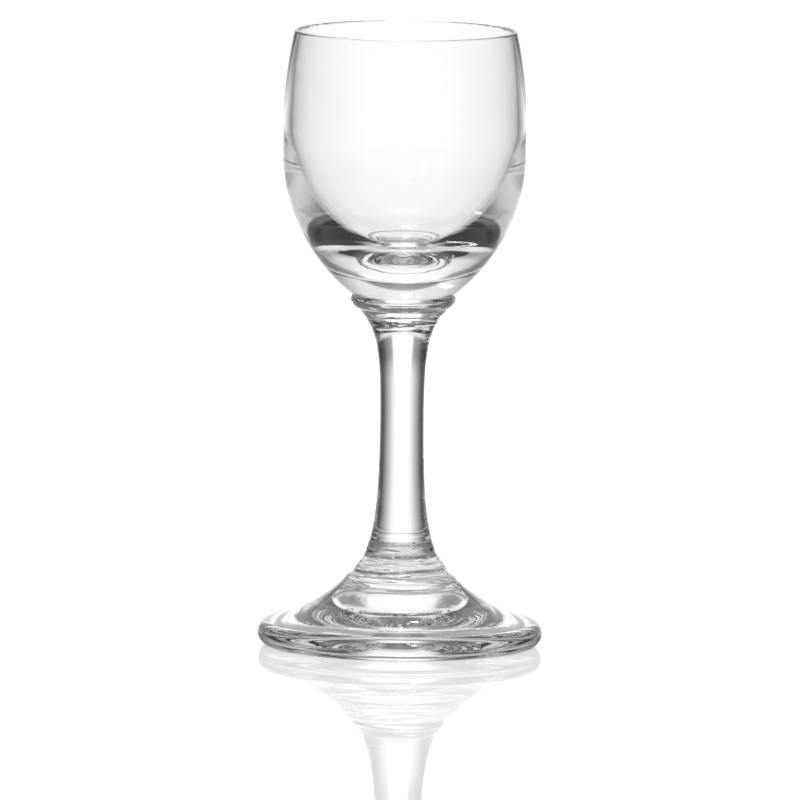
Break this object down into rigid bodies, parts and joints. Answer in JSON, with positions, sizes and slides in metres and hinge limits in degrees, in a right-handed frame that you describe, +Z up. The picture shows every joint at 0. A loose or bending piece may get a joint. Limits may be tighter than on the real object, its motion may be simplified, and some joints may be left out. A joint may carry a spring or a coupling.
{
  "type": "cordial glass",
  "caption": "Clear stemmed glass with a small round-shouldered bowl, thick base, flared solid stem and a wide domed foot.",
  "frame": {"origin": "centre of the ring that the foot rests on, at table height", "axes": "+Z up the axis of the glass, from the foot to the lip; the part is round, so +X and +Y are alike"},
  "size_m": [0.0461, 0.046, 0.1],
  "materials": {
    "bowl_glass": "clear, fire-polished",
    "stem_glass": "clear, fire-polished",
    "foot_glass": "clear, pressed, with faint rings"
  },
  "bodies": {
    "root": {"bowl": "bowl_glass", "stem": "stem_glass", "foot": "foot_glass"}
  },
  "joints": []
}
